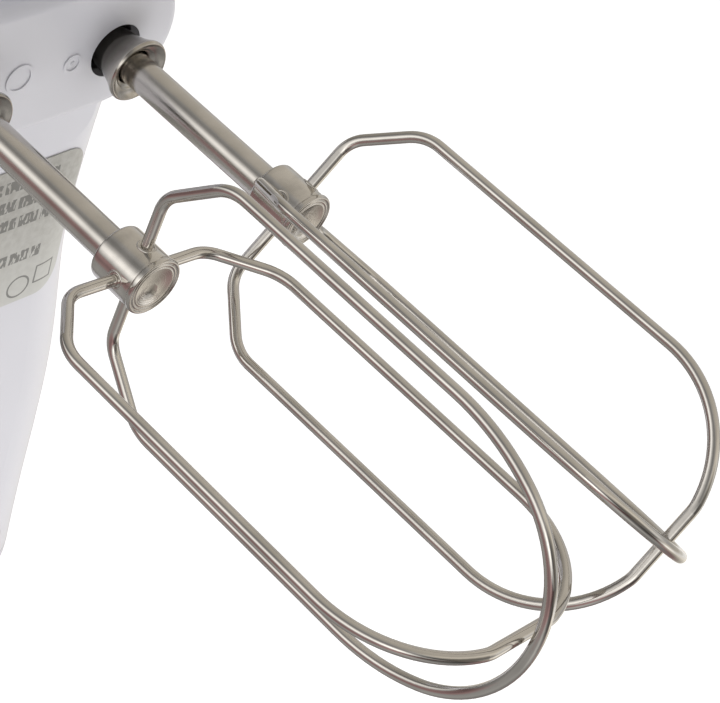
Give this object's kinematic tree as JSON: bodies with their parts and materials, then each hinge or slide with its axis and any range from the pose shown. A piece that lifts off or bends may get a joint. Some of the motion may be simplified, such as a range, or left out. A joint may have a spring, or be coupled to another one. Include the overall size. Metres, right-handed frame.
{
  "type": "hand mixer",
  "caption": "Electric hand mixer standing on its heel, with wire-loop beaters in push-in sockets, a motor, worm drive, looped handle and eject control.",
  "frame": {"origin": "middle of the flat heel face, on the motor's axis", "axes": "+Z from the heel up to the nose, the beaters point along -Y, X is the width"},
  "size_m": [0.0797, 0.2616, 0.1909],
  "materials": {
    "white_shell": "satin moulded shell, very pale lilac white",
    "grey_control": "soft grey moulded button",
    "label_silver": "thin printed film",
    "polished_steel": "polished stainless wire and tube",
    "turned_steel": "turned stainless steel",
    "zinc_steel": "zinc plated steel",
    "bronze": "oil-filled sintered bronze",
    "nylon": "natural nylon",
    "black_plastic": "black moulded plastic",
    "lamination": "stacked electrical steel",
    "copper_wire": "enamelled copper winding",
    "commutator_copper": "copper segments",
    "carbon": "pressed carbon",
    "board_green": "glass-fibre board",
    "cord_rubber": "pale soft cord inlet"
  },
  "bodies": {
    "housing": {"lower_housing": "white_shell", "upper_housing": "white_shell", "handle_cover": "white_shell", "heel_rest": "white_shell", "rating_label": "label_silver", "housing_screws": "zinc_steel", "handle_screws": "zinc_steel", "gearbox_frame": "nylon", "gearbox_cover": "nylon", "gearbox_screws": "zinc_steel", "front_spindle_bushes": "bronze", "rear_spindle_bushes": "bronze", "worm_end_bush": "bronze", "stator_core": "lamination", "field_coils": "copper_wire", "coil_ends": "copper_wire", "lower_bearing_bracket": "black_plastic", "upper_bearing_bracket": "black_plastic", "lower_motor_bearing": "bronze", "upper_motor_bearing": "bronze", "brush_holders": "black_plastic", "carbon_brushes": "carbon", "brush_springs": "zinc_steel", "circuit_board": "board_green", "turbo_switch": "black_plastic", "speed_switch": "black_plastic", "suppression_capacitor": "black_plastic", "cord_gland": "cord_rubber", "eject_spring": "zinc_steel"},
    "rotor": {"motor_shaft": "turned_steel", "armature_core": "lamination", "armature_windings": "copper_wire", "commutator": "commutator_copper", "cooling_fan": "black_plastic", "worm": "turned_steel"},
    "spindle_1": {"drive_spindle_1": "turned_steel", "worm_wheel_1": "nylon", "spindle_clip_1": "zinc_steel"},
    "spindle_2": {"drive_spindle_2": "turned_steel", "worm_wheel_2": "nylon", "spindle_clip_2": "zinc_steel"},
    "beater_1": {"beater_1_shaft": "turned_steel", "beater_1_collar": "turned_steel", "beater_1_hub": "turned_steel", "beater_1_outer_loop": "polished_steel", "beater_1_inner_loop": "polished_steel"},
    "beater_2": {"beater_2_shaft": "turned_steel", "beater_2_collar": "turned_steel", "beater_2_hub": "turned_steel", "beater_2_outer_loop": "polished_steel", "beater_2_inner_loop": "polished_steel"},
    "ejector": {"eject_button": "grey_control", "ejector_yoke": "nylon"},
    "speed_slide": {"speed_slider": "grey_control", "slider_contact": "zinc_steel"},
    "turbo": {"turbo_button": "grey_control"}
  },
  "joints": [
    {"name": "rotor_spin", "type": "hinge", "parent": "housing", "child": "rotor", "pos_m": [0, 0, 0.075], "axis": [0, 0, 1], "continuous": true},
    {"name": "spindle_1_spin", "type": "hinge", "parent": "housing", "child": "spindle_1", "pos_m": [-0.0169, 0, 0.15], "axis": [0, 1, 0], "continuous": true},
    {"name": "spindle_2_spin", "type": "hinge", "parent": "housing", "child": "spindle_2", "pos_m": [0.0169, 0, 0.15], "axis": [0, 1, 0], "continuous": true},
    {"name": "eject_press", "type": "slide", "parent": "housing", "child": "ejector", "axis": [0, -1, 0], "range_m": [0, 0.006], "stiffness_N_per_m": 700, "springref_m": -0.004, "deforming": ["eject_spring"]},
    {"name": "beater_1_eject", "type": "slide", "parent": "spindle_1", "child": "beater_1", "axis": [0, -1, 0], "range_m": [0, 0.006]},
    {"name": "beater_2_eject", "type": "slide", "parent": "spindle_2", "child": "beater_2", "axis": [0, -1, 0], "range_m": [0, 0.006]},
    {"name": "speed_select", "type": "slide", "parent": "housing", "child": "speed_slide", "axis": [0, 0, 1], "range_m": [0, 0.012]},
    {"name": "turbo_press", "type": "slide", "parent": "housing", "child": "turbo", "axis": [0, -1, 0], "range_m": [0, 0.0025], "stiffness_N_per_m": 900, "springref_m": -0.002}
  ],
  "couplings": [
    {"joint": "spindle_1_spin", "follows": "rotor_spin", "ratio": 0.058824},
    {"joint": "spindle_2_spin", "follows": "rotor_spin", "ratio": -0.058824},
    {"joint": "beater_1_eject", "follows": "eject_press", "ratio": 1},
    {"joint": "beater_2_eject", "follows": "eject_press", "ratio": 1}
  ]
}
